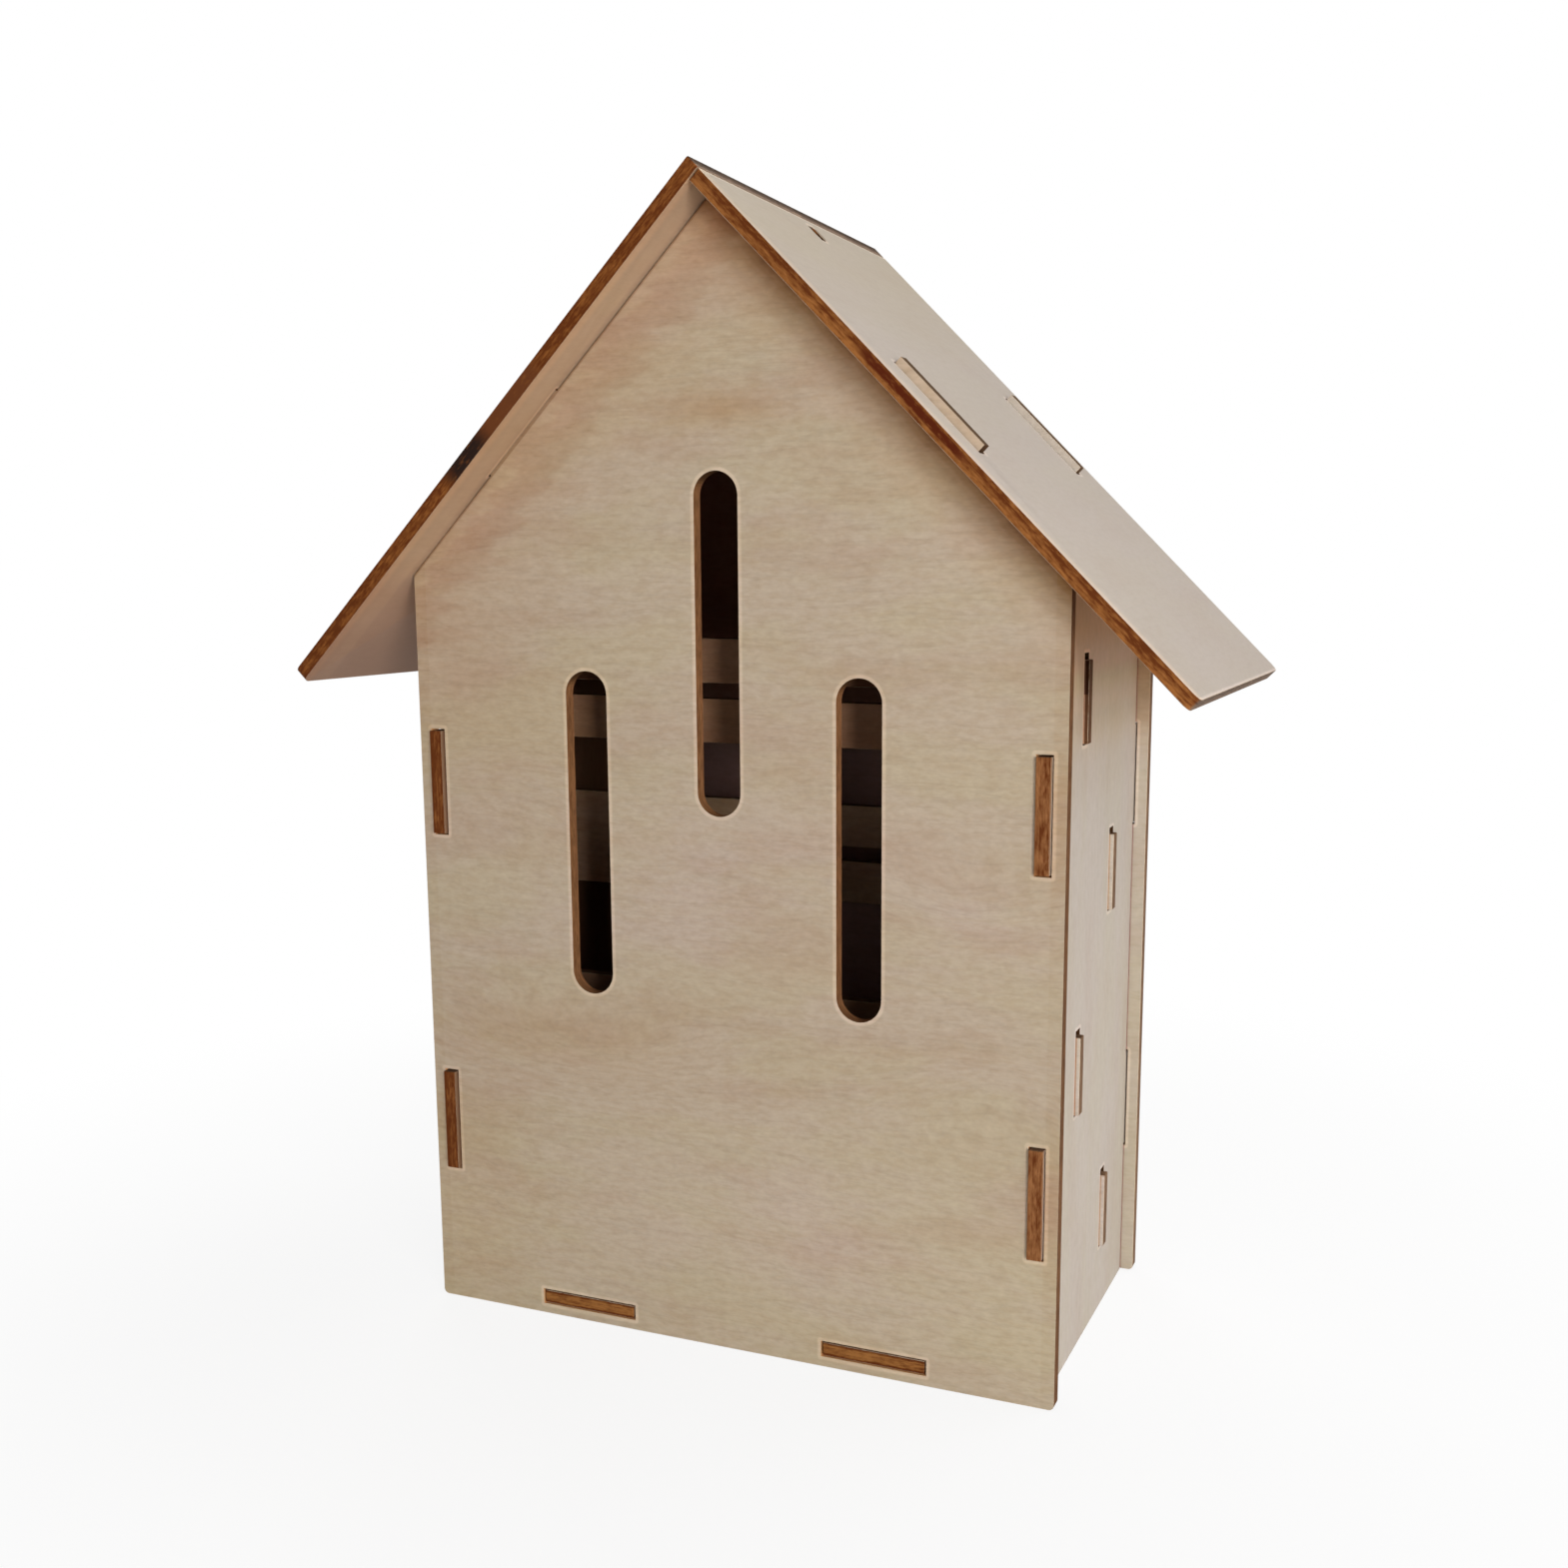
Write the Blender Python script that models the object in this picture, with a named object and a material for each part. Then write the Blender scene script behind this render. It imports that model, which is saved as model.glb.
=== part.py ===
# A flat-pack bat box: eleven laser-cut plywood sheets that plug into each other.
# Blender 4.5, metres, +Z up. The front looks along -Y and +X is on its right.
# The origin is on the ground, under the middle of the roof's outline.
#
# Each piece is one flat outline with its cut-outs, drawn in the sheet's own plane and
# extruded to the sheet's thickness. Tabs on one sheet pass through mortises in the next:
# the walls and the floor plug into the front and back, the slats plug into the walls,
# and the gables' tabs hold both roof panels.

from itertools import cycle
from math import cos, pi, radians, sin, tan

import bpy
from mathutils import Matrix, Vector

# Sheet and fit
SHEET = 0.0030                  # thickness of the plywood
GAP = 0.0003                    # air between two sheets that rest on each other
TAB_END_PLAY = 0.0004           # air at each end of a tab in its mortise
WALL_TAB_PROUD = 0.0010         # wall tabs stand this far out of the front and back
SLAT_TAB_PROUD = 0.0010         # slat tabs stand this far out of the walls
ROOF_TAB_PROUD = 0.0016         # gable tabs stand this far out of the roof
PANEL_CORNER_RADIUS = 0.0012
EAVE_CORNER_RADIUS = 0.0020
RIDGE_CORNER_RADIUS = 0.0004    # the roof's ends at the ridge are almost sharp
ARC_STEPS = 24                  # straight steps in a half circle

# Front and back panels
PANEL_WIDTH = 0.1500
SHOULDER_HEIGHT = 0.1696        # where the gable's slopes start
ROOF_PITCH = radians(45)
BOX_DEPTH = 0.0776              # from the front panel's face to the back panel's

# Entry slots in the front
SLOT_WIDTH = 0.0100
SLOT_LENGTH = 0.0713
SIDE_SLOT_ACROSS_SHARE = 0.211      # of the panel's width, from its centre line
SIDE_SLOT_HEIGHT_SHARE = 0.6704     # slot's middle, of the shoulder height
CENTRE_SLOT_HEIGHT_SHARE = 0.9145   # slot's middle, of the shoulder height

# Side walls
WALL_INSET = 0.00315            # the front and back stand out past the walls by this
WALL_TAB_LENGTH = 0.0233
WALL_TAB_HEIGHT_SHARES = (0.255, 0.715)     # of the wall's height

# Floor
FLOOR_RISE = 0.00255            # from the ground to the floor's underside
FLOOR_TAB_LENGTH = 0.0234
FLOOR_TAB_ACROSS_SHARE = 0.511      # of the floor's half width

# Slats inside, in a front and a rear column, each with one long slit
SLAT_HEIGHT = 0.0234
SLAT_TAB_HEIGHT = 0.0173
SLAT_HEADROOM = 0.0014          # air over a slat's tab, where it was tipped in
SLIT_LENGTH = 0.1100
SLIT_HEIGHT = 0.0035
SLAT_NAMES = ("upper_front_slat", "upper_rear_slat", "lower_front_slat", "lower_rear_slat")
SLAT_HEIGHT_SHARES = (0.8335, 0.602, 0.3705, 0.139) # slat's middle, of the wall's height
SLAT_DEPTH_SHARES = (0.330, 0.672)                  # front and rear column, of the box's depth

# Roof
LEFT_ROOF_SLOPE = 0.1400        # from the ridge's inner corner to the eave
RIGHT_ROOF_SLOPE = 0.1407       # the right panel hangs down a little further
ROOF_FRONT_OVERHANG = 0.0100
ROOF_REAR_OVERHANG = 0.0128
ROOF_TAB_LENGTH = 0.0241
ROOF_TAB_SHARE = 0.604          # tab's middle, of the gable's slope from the apex

# Hanging slot near the ridge
CORD_SLOT_LENGTH = 0.0046
CORD_SLOT_WIDTH = 0.0030
CORD_SLOT_SETBACK = 0.0025      # wood between the slot and the roof panel's top edge

# Places that follow from the sizes above
ROOF_DEPTH = ROOF_FRONT_OVERHANG + BOX_DEPTH + ROOF_REAR_OVERHANG
FRONT_Y = -ROOF_DEPTH / 2 + ROOF_FRONT_OVERHANG
BACK_Y = FRONT_Y + BOX_DEPTH
FRONT_MID_Y = FRONT_Y + SHEET / 2
BACK_MID_Y = BACK_Y - SHEET / 2
GABLE_RISE = PANEL_WIDTH / 2 * tan(ROOF_PITCH)
GABLE_SLOPE = PANEL_WIDTH / 2 / cos(ROOF_PITCH)
APEX_HEIGHT = SHOULDER_HEIGHT + GABLE_RISE
RIDGE_HEIGHT = APEX_HEIGHT + GAP / cos(ROOF_PITCH)      # inner corner of the two roof panels
WALL_OUTER_X = PANEL_WIDTH / 2 - WALL_INSET
WALL_MID_X = WALL_OUTER_X - SHEET / 2
WALL_INNER_X = WALL_OUTER_X - SHEET
WALL_HEIGHT = RIDGE_HEIGHT - WALL_OUTER_X * tan(ROOF_PITCH) - GAP / cos(ROOF_PITCH)
INNER_DEPTH = BOX_DEPTH - 2 * SHEET - 2 * GAP           # walls and floor, between the panels
FLOOR_MID_Z = FLOOR_RISE + SHEET / 2
FLOOR_HALF_WIDTH = WALL_INNER_X - GAP
FLOOR_TAB_X = FLOOR_HALF_WIDTH * FLOOR_TAB_ACROSS_SHARE
ROOF_TAB_FROM_APEX = GABLE_SLOPE * ROOF_TAB_SHARE
# The tabs stand square on the gable's slope, and the roof's inner corner lies a gap above
# the apex, so the same place is a little further down when measured along the roof.
ROOF_TAB_FROM_RIDGE = ROOF_TAB_FROM_APEX + GAP * tan(ROOF_PITCH)

# Colours of the wood faces, as linear red, green and blue
FACE_COLOURS = {
    "gable_ply": (0.445, 0.352, 0.250),
    "wall_ply": (0.530, 0.462, 0.380),
    "roof_ply": (0.530, 0.468, 0.390),
    "floor_ply": (0.440, 0.345, 0.240),
    "slat_ply": (0.440, 0.345, 0.240),
}
WOOD_ROUGHNESS = 0.62


def arc(centre, radius, start, end, steps):
    """Points on a circle from one angle to another, both ends included."""
    points = []
    for step in range(steps + 1):
        angle = start + (end - start) * step / steps
        points.append((centre[0] + radius * cos(angle), centre[1] + radius * sin(angle)))
    return points


def rounded_corner(before, corner, after, radius):
    """The arc that replaces one convex corner of an outline that runs counter-clockwise."""
    corner = Vector(corner)
    back = (Vector(before) - corner).normalized()
    ahead = (Vector(after) - corner).normalized()
    half_angle = back.angle(ahead) / 2
    inward = (back + ahead).normalized()
    centre = corner + inward * (radius / sin(half_angle))
    turn = pi - 2 * half_angle
    steps = max(1, round(ARC_STEPS * turn / pi))
    first = corner + back * (radius / tan(half_angle)) - centre
    points = []
    for step in range(steps + 1):
        angle = turn * step / steps
        spoke = Matrix.Rotation(angle, 2) @ first
        points.append(tuple(centre + spoke))
    return points


def rounded_outline(corners, radii):
    """A convex outline, counter-clockwise, with each corner rounded by its own radius."""
    points = []
    for index, (corner, radius) in enumerate(zip(corners, radii)):
        before = corners[index - 1]
        after = corners[(index + 1) % len(corners)]
        points += rounded_corner(before, corner, after, radius)
    return points


def edge_tabs(start, end, middles, length, reach):
    """Corners of square tabs on the outer side of an edge that runs from start to end.

    Each middle is a distance from the start, in the order in which the edge meets them.
    """
    along = (Vector(end) - Vector(start)).normalized()
    outward = Vector((along.y, -along.x))
    points = []
    for middle in middles:
        first = Vector(start) + along * (middle - length / 2)
        last = Vector(start) + along * (middle + length / 2)
        points += [tuple(first), tuple(first + outward * reach)]
        points += [tuple(last + outward * reach), tuple(last)]
    return points


def box_hole(centre, width, height):
    """A square-cornered cut-out."""
    x, y = centre
    right, top = width / 2, height / 2
    return [(x - right, y - top), (x + right, y - top), (x + right, y + top), (x - right, y + top)]


def round_slot(centre, width, length):
    """An upright slot with half-round ends."""
    x, y = centre
    radius = width / 2
    reach = length / 2 - radius
    top = arc((x, y + reach), radius, 0, pi, ARC_STEPS)
    bottom = arc((x, y - reach), radius, pi, 2 * pi, ARC_STEPS)
    return top + bottom


def wood_material(name, colour):
    """Plain plywood, one colour."""
    material = bpy.data.materials.new(name)
    material.use_nodes = True
    shader = material.node_tree.nodes["Principled BSDF"]
    shader.inputs["Base Color"].default_value = (*colour, 1)
    shader.inputs["Roughness"].default_value = WOOD_ROUGHNESS
    shader.inputs["Metallic"].default_value = 0
    material.diffuse_color = (*colour, 1)
    return material


def sheet(name, outline, holes, material, placement, collection):
    """One laser-cut sheet: an outline and its cut-outs, extruded about the middle of the sheet."""
    curve = bpy.data.curves.new(name, "CURVE")
    curve.dimensions = "2D"
    curve.fill_mode = "BOTH"
    curve.extrude = SHEET / 2
    for loop in [outline] + holes:
        spline = curve.splines.new("POLY")
        spline.points.add(len(loop) - 1)
        for point, (x, y) in zip(spline.points, loop):
            point.co = (x, y, 0, 1)
        spline.use_cyclic_u = True
    curve.materials.append(material)
    piece = bpy.data.objects.new(name, curve)
    piece.matrix_world = placement
    collection.objects.link(piece)
    return piece


def upright_across(middle_y):
    """Placement of a sheet that faces the front: its x is +X and its y is +Z."""
    return Matrix.Translation((0, middle_y, 0)) @ Matrix.Rotation(pi / 2, 4, "X")


def upright_along(middle_x):
    """Placement of a side wall: its x is +Y and its y is +Z."""
    turn = Matrix(((0, 0, 1, 0), (1, 0, 0, 0), (0, 1, 0, 0), (0, 0, 0, 1)))
    return Matrix.Translation((middle_x, 0, 0)) @ turn


def roof_placement(side):
    """Placement of a roof panel: its x runs down the slope and its middle lies above the slope.

    side is 1 for the right panel and -1 for the left one, whose y runs to the front.
    """
    down = Vector((side * cos(ROOF_PITCH), 0, -sin(ROOF_PITCH)))
    up = Vector((side * sin(ROOF_PITCH), 0, cos(ROOF_PITCH)))
    level = up.cross(down)
    middle = Vector((0, 0, RIDGE_HEIGHT)) + up * (SHEET / 2)
    turn = Matrix((down, level, up)).transposed().to_4x4()
    return Matrix.Translation(middle) @ turn


def wall_tab_heights():
    """Middles of the tabs that hold a wall in the front and the back."""
    return [WALL_HEIGHT * share for share in WALL_TAB_HEIGHT_SHARES]


def slat_middles():
    """Each slat's name and the Y and Z of its middle, front and rear columns in turn."""
    places = []
    for name, up, deep in zip(SLAT_NAMES, SLAT_HEIGHT_SHARES, cycle(SLAT_DEPTH_SHARES)):
        places.append((name, FRONT_Y + BOX_DEPTH * deep, WALL_HEIGHT * up))
    return places


def gable_outline():
    """The pentagon of the front and back, with one roof tab on each slope."""
    half = PANEL_WIDTH / 2
    left_foot, right_foot = (-half, 0), (half, 0)
    right_shoulder, left_shoulder = (half, SHOULDER_HEIGHT), (-half, SHOULDER_HEIGHT)
    apex = (0, APEX_HEIGHT)
    reach = GAP + SHEET + ROOF_TAB_PROUD
    points = rounded_corner(left_shoulder, left_foot, right_foot, PANEL_CORNER_RADIUS)
    points += rounded_corner(left_foot, right_foot, right_shoulder, PANEL_CORNER_RADIUS)
    points.append(right_shoulder)
    right_tab = [GABLE_SLOPE - ROOF_TAB_FROM_APEX]
    points += edge_tabs(right_shoulder, apex, right_tab, ROOF_TAB_LENGTH, reach)
    points.append(apex)
    points += edge_tabs(apex, left_shoulder, [ROOF_TAB_FROM_APEX], ROOF_TAB_LENGTH, reach)
    points.append(left_shoulder)
    return points


def gable_mortises():
    """Cut-outs for the walls' and the floor's tabs."""
    holes = []
    for side in (-1, 1):
        for height in wall_tab_heights():
            centre = (side * WALL_MID_X, height)
            holes.append(box_hole(centre, SHEET + 2 * GAP, WALL_TAB_LENGTH + 2 * TAB_END_PLAY))
        centre = (side * FLOOR_TAB_X, FLOOR_MID_Z)
        holes.append(box_hole(centre, FLOOR_TAB_LENGTH + 2 * TAB_END_PLAY, SHEET + 2 * GAP))
    return holes


def entry_slots():
    """The three slots in the front: one high in the middle, one lower on each side."""
    across = PANEL_WIDTH * SIDE_SLOT_ACROSS_SHARE
    side_height = SHOULDER_HEIGHT * SIDE_SLOT_HEIGHT_SHARE
    centre_height = SHOULDER_HEIGHT * CENTRE_SLOT_HEIGHT_SHARE
    centres = [(-across, side_height), (0, centre_height), (across, side_height)]
    return [round_slot(centre, SLOT_WIDTH, SLOT_LENGTH) for centre in centres]


def make_gables(material, collection):
    """The front panel with its entry slots, and the plain back panel."""
    front_holes = gable_mortises() + entry_slots()
    place = upright_across(FRONT_MID_Y)
    sheet("front_panel", gable_outline(), front_holes, material, place, collection)
    place = upright_across(BACK_MID_Y)
    sheet("back_panel", gable_outline(), gable_mortises(), material, place, collection)


def make_walls(material, collection):
    """Two side walls, plugged into the front and back, with a mortise for every slat."""
    front = FRONT_Y + SHEET + GAP
    back = front + INNER_DEPTH
    reach = GAP + SHEET + WALL_TAB_PROUD
    rising = wall_tab_heights()
    falling = [WALL_HEIGHT - height for height in reversed(rising)]
    outline = [(front, 0), (back, 0)]
    outline += edge_tabs((back, 0), (back, WALL_HEIGHT), rising, WALL_TAB_LENGTH, reach)
    outline += [(back, WALL_HEIGHT), (front, WALL_HEIGHT)]
    outline += edge_tabs((front, WALL_HEIGHT), (front, 0), falling, WALL_TAB_LENGTH, reach)
    mortise_height = GAP + SLAT_TAB_HEIGHT + SLAT_HEADROOM
    holes = []
    for _, middle_y, middle_z in slat_middles():
        mortise_middle = middle_z - SLAT_TAB_HEIGHT / 2 - GAP + mortise_height / 2
        holes.append(box_hole((middle_y, mortise_middle), SHEET + 2 * GAP, mortise_height))
    for name, side in (("left_side_panel", -1), ("right_side_panel", 1)):
        sheet(name, outline, holes, material, upright_along(side * WALL_MID_X), collection)


def make_floor(material, collection):
    """The floor, a little above the ground, with flush tabs in the front and back."""
    front = FRONT_Y + SHEET + GAP
    back = front + INNER_DEPTH
    half = FLOOR_HALF_WIDTH
    reach = GAP + SHEET
    middles = [half - FLOOR_TAB_X, half + FLOOR_TAB_X]
    outline = [(-half, front)]
    outline += edge_tabs((-half, front), (half, front), middles, FLOOR_TAB_LENGTH, reach)
    outline += [(half, front), (half, back)]
    outline += edge_tabs((half, back), (-half, back), middles, FLOOR_TAB_LENGTH, reach)
    outline.append((-half, back))
    place = Matrix.Translation((0, 0, FLOOR_MID_Z))
    sheet("floor_panel", outline, [], material, place, collection)


def make_slats(material, collection):
    """Four slats across the box, each with a long slit and a tab at both ends."""
    half = WALL_INNER_X - GAP
    top = SLAT_HEIGHT / 2
    reach = GAP + SHEET + SLAT_TAB_PROUD
    outline = [(-half, -top), (half, -top)]
    outline += edge_tabs((half, -top), (half, top), [top], SLAT_TAB_HEIGHT, reach)
    outline += [(half, top), (-half, top)]
    outline += edge_tabs((-half, top), (-half, -top), [top], SLAT_TAB_HEIGHT, reach)
    slit = box_hole((0, 0), SLIT_LENGTH, SLIT_HEIGHT)
    for name, middle_y, middle_z in slat_middles():
        place = Matrix.Translation((0, 0, middle_z)) @ upright_across(middle_y)
        sheet(name, outline, [slit], material, place, collection)


def make_roof(material, collection):
    """Two roof panels that meet square at the ridge.

    The left one laps the right one's end, and its own end is flush with the right one's face.
    """
    sides = ROOF_DEPTH / 2
    right_start = (GAP + max(0, SHEET * cos(2 * ROOF_PITCH))) / sin(2 * ROOF_PITCH)
    left_start = -SHEET / sin(2 * ROOF_PITCH)
    radii = (RIDGE_CORNER_RADIUS, EAVE_CORNER_RADIUS, EAVE_CORNER_RADIUS, RIDGE_CORNER_RADIUS)
    panels = [
        ("right_roof_panel", 1, right_start, RIGHT_ROOF_SLOPE),
        ("left_roof_panel", -1, left_start, LEFT_ROOF_SLOPE),
    ]
    for name, side, start, eave in panels:
        corners = [(start, -sides), (eave, -sides), (eave, sides), (start, sides)]
        outline = rounded_outline(corners, radii)
        holes = []
        for middle_y in (FRONT_MID_Y, BACK_MID_Y):
            centre = (ROOF_TAB_FROM_RIDGE, side * middle_y)
            holes.append(box_hole(centre, ROOF_TAB_LENGTH + 2 * TAB_END_PLAY, SHEET + 2 * GAP))
        if side == 1:
            slot_middle = start + CORD_SLOT_SETBACK + CORD_SLOT_LENGTH / 2
            holes.append(box_hole((slot_middle, 0), CORD_SLOT_LENGTH, CORD_SLOT_WIDTH))
        sheet(name, outline, holes, material, roof_placement(side), collection)


def clear_scene():
    """Start from nothing."""
    for thing in list(bpy.data.objects):
        bpy.data.objects.remove(thing)


def main():
    clear_scene()
    collection = bpy.data.collections.new("bat_box")
    bpy.context.scene.collection.children.link(collection)
    woods = {name: wood_material(name, colour) for name, colour in FACE_COLOURS.items()}
    make_gables(woods["gable_ply"], collection)
    make_walls(woods["wall_ply"], collection)
    make_floor(woods["floor_ply"], collection)
    make_slats(woods["slat_ply"], collection)
    make_roof(woods["roof_ply"], collection)


main()
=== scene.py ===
# %% [markdown]
# # A plug-together plywood bat box: camera, light and wood
#
# The real object is a small gabled house, cut by laser from 3 mm plywood. Eleven flat sheets
# plug into each other with tabs. Their shapes are finished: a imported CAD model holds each
# sheet as its own object. This lesson dresses them. It sets up a camera and soft light, breaks
# the sharp edges a little, and builds one recipe for laser-cut plywood that every sheet takes
# its own veneer, grain and burnt edges from.

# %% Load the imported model
from math import radians, sqrt

import bmesh
import bpy
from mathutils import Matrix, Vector


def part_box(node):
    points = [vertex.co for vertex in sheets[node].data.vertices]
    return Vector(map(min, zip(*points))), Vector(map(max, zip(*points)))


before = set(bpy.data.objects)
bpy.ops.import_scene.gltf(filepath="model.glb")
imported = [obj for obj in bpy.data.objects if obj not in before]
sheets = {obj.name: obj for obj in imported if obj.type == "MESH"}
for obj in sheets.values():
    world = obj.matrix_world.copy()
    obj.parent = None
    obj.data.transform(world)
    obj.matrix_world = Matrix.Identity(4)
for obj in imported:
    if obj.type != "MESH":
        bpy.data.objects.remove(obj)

MM = 1000  # millimetres in a metre
scene = bpy.context.scene
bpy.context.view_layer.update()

# %% [markdown]
# ## The camera
#
# A photograph of a box has straight edges along three square directions, and where those edges
# run together gives the camera's lens and tilt. A wide lens close by makes the uprights lean
# and the near corner large, so the lens matters as much as the place. The picture was cropped
# off-centre, which a small lens shift repeats without turning the camera.

# %% Place the camera
PICTURE_PIXELS = 1569
FOCAL_PIXELS = 1641.67
SENSOR_MM = 36
CROP_SHIFT = (-0.0400, 0.0398)  # shares of the picture's width
CAMERA_PLACE = (0.15361, -0.34694, 0.17069)
CAMERA_TILT, CAMERA_TURN = radians(80.452), radians(22.109)

camera_data = bpy.data.cameras.new("camera")
camera_data.sensor_width = SENSOR_MM
camera_data.lens = SENSOR_MM * FOCAL_PIXELS / PICTURE_PIXELS
camera_data.shift_x, camera_data.shift_y = CROP_SHIFT
camera = bpy.data.objects.new("camera", camera_data)
camera.location = CAMERA_PLACE
camera.rotation_euler = (CAMERA_TILT, 0, CAMERA_TURN)
scene.collection.objects.link(camera)
scene.camera = camera
scene.view_settings.view_transform = "Standard"
print("lens in mm:", round(camera_data.lens, 2))

# %% [markdown]
# ## A short way to write node trees
#
# Wood needs hundreds of nodes: sums, noises and blends. Adding and wiring each by hand hides
# the idea behind the wiring. A small class turns each node into one call that takes numbers or
# other nodes' outputs and returns an output, so that a material reads like arithmetic.

# %% Node helper
class Recipe:
    """A material whose nodes are added by calls that return their output sockets."""

    def __init__(self, name):
        self.material = bpy.data.materials.new(name)
        self.material.use_nodes = True
        self.tree = self.material.node_tree
        self.shader = self.tree.nodes["Principled BSDF"]

    def feed(self, socket, value):
        """Join a socket to an output, or set its own value."""
        if isinstance(value, bpy.types.NodeSocket):
            self.tree.links.new(value, socket)
        else:
            socket.default_value = value

    def node(self, kind, *values, **settings):
        """Add a node, with its settings and its first inputs in order."""
        made = self.tree.nodes.new(kind)
        for name, value in settings.items():
            setattr(made, name, value)
        for socket, value in zip(made.inputs, values):
            self.feed(socket, value)
        return made

    def sum(self, operation, *values):
        """One step of arithmetic on numbers."""
        return self.node("ShaderNodeMath", *values, operation=operation).outputs[0]

    def product(self, first, *others):
        """Multiply numbers."""
        for other in others:
            first = self.sum("MULTIPLY", first, other)
        return first

    def apart(self, value, place):
        """How far a number lies from a place, on either side of it."""
        return self.sum("ABSOLUTE", self.sum("SUBTRACT", value, place))

    def swing(self, noise, amount, base):
        """Move a base value up and down with a noise."""
        return self.sum("MULTIPLY_ADD", self.sum("SUBTRACT", noise, 0.5), amount, base)

    def dot(self, vector, axis):
        """How far a vector reaches along an axis."""
        made = self.node("ShaderNodeVectorMath", vector, tuple(axis), operation="DOT_PRODUCT")
        return made.outputs["Value"]

    def noise(self, x, y, z, detail, roughness):
        """Smooth noise from 0 to 1, one lump to each unit of x, y and z."""
        made = self.node("ShaderNodeTexNoise")
        self.feed(made.inputs["Vector"], self.node("ShaderNodeCombineXYZ", x, y, z).outputs[0])
        made.inputs["Scale"].default_value = 1
        made.inputs["Detail"].default_value = detail
        made.inputs["Roughness"].default_value = roughness
        return made.outputs[0]

    def step(self, value, start, end, low=0.0, high=1.0):
        """A smooth change from low to high while value goes from start to end."""
        values = (value, start, end, low, high)
        return self.node("ShaderNodeMapRange", *values, interpolation_type="SMOOTHSTEP").outputs[0]

    def between(self, factor, first, second):
        """Blend two numbers."""
        made = self.node("ShaderNodeMix", factor)
        self.feed(made.inputs[2], first)
        self.feed(made.inputs[3], second)
        return made.outputs[0]

    def mix(self, factor, first, second, way="MIX"):
        """Blend two colours."""
        made = self.node("ShaderNodeMix", data_type="RGBA", blend_type=way)
        self.feed(made.inputs[0], factor)
        self.feed(made.inputs[6], first)
        self.feed(made.inputs[7], second)
        return made.outputs[2]

    def tinted(self, share, shade, tint):
        """Multiply a colour by a tint, as far as the share says."""
        return self.mix(share, shade, tint, "MULTIPLY")

    def scale(self, shade, amount):
        """Make a colour lighter or darker."""
        shade = shade if isinstance(shade, bpy.types.NodeSocket) else shade[:3]
        made = self.node("ShaderNodeVectorMath", shade, operation="SCALE")
        self.feed(made.inputs["Scale"], amount)
        return made.outputs[0]


def colour(red, green, blue):
    """A colour in linear light, as a shader takes it."""
    return (red, green, blue, 1)


print("node helper ready")

# %% [markdown]
# ## The floor and the background
#
# The box stands on a pale floor in a white studio. A floor lit by lamps goes grey with
# distance, so it is a diffuse surface near the box, where it keeps the shadow, and turns to
# plain white further out. Only the camera and mirror rays see that white. Light that bounces
# from the floor meets an ordinary pale surface.

# %% Pale floor
FLOOR_RADIUS = 6.0
FLOOR_DROP = 0.0001  # keeps the floor clear of the box
SHADOW_RADIUS = (0.12, 0.32)  # where the lit floor starts and ends its change to white
NEAR_WHITE_SHARE = 0.86  # how much of the floor's look near the box is plain white
LIT_PAPER, SEEN_PAPER = colour(0.85, 0.85, 0.85), colour(0.99, 0.99, 0.99)
PAPER_ROUGHNESS = 0.9
WHITE = colour(1, 1, 1)

floor_mesh = bpy.data.meshes.new("studio_floor")
disc = bmesh.new()
bmesh.ops.create_circle(disc, cap_ends=True, segments=64, radius=FLOOR_RADIUS)
disc.to_mesh(floor_mesh)
disc.free()
floor = bpy.data.objects.new("studio_floor", floor_mesh)
floor.location.z = -FLOOR_DROP
scene.collection.objects.link(floor)

paper = Recipe("studio_paper")
rays = paper.node("ShaderNodeLightPath").outputs
seen = paper.sum("MAXIMUM", rays["Is Camera Ray"], rays["Is Glossy Ray"])
seen = paper.sum("MAXIMUM", seen, rays["Is Transmission Ray"])
spot = paper.node("ShaderNodeTexCoord").outputs["Object"]
distance = paper.node("ShaderNodeVectorMath", spot, operation="LENGTH").outputs["Value"]
plain = paper.product(seen, paper.step(distance, *SHADOW_RADIUS, NEAR_WHITE_SHARE, 1.0))
paper.feed(paper.shader.inputs["Base Color"], paper.mix(seen, LIT_PAPER, SEEN_PAPER))
paper.shader.inputs["Roughness"].default_value = PAPER_ROUGHNESS
paper.shader.inputs["Specular IOR Level"].default_value = 0.0
white = paper.node("ShaderNodeEmission", WHITE, 1.0)
both = paper.node("ShaderNodeMixShader", plain, paper.shader.outputs[0], white.outputs[0])
paper.feed(paper.tree.nodes["Material Output"].inputs["Surface"], both.outputs[0])
floor_mesh.materials.append(paper.material)
print("floor radius in m:", FLOOR_RADIUS)

# %% [markdown]
# ## Soft light
#
# The front has a narrow soft band of shade under the roof's right slope and none under the left
# one, and through the slots the slats are bright on their left part only. So the main light
# stands low, in front and to the right. A weak lamp at the left and the plain world fill the
# shade, a broad lamp above lights the roof, and one behind lights the back, which this camera
# doesn't see but a camera on the other side does.

# %% World and lamps
WORLD_STRENGTH = 0.20
LAMPS = {  # place, width, height and power
    "key_light": ((0.74, -0.78, 0.22), 0.42, 0.36, 8.7),
    "fill_light": ((-0.40, -1.25, 0.22), 0.70, 0.50, 2.3),
    "top_light": ((0.40, 0.38, 1.10), 0.80, 0.80, 5.4),
    "back_light": ((-0.75, 1.00, 0.55), 0.80, 0.80, 6.0),
}
AIM = Vector((0, 0, 0.12))

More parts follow.
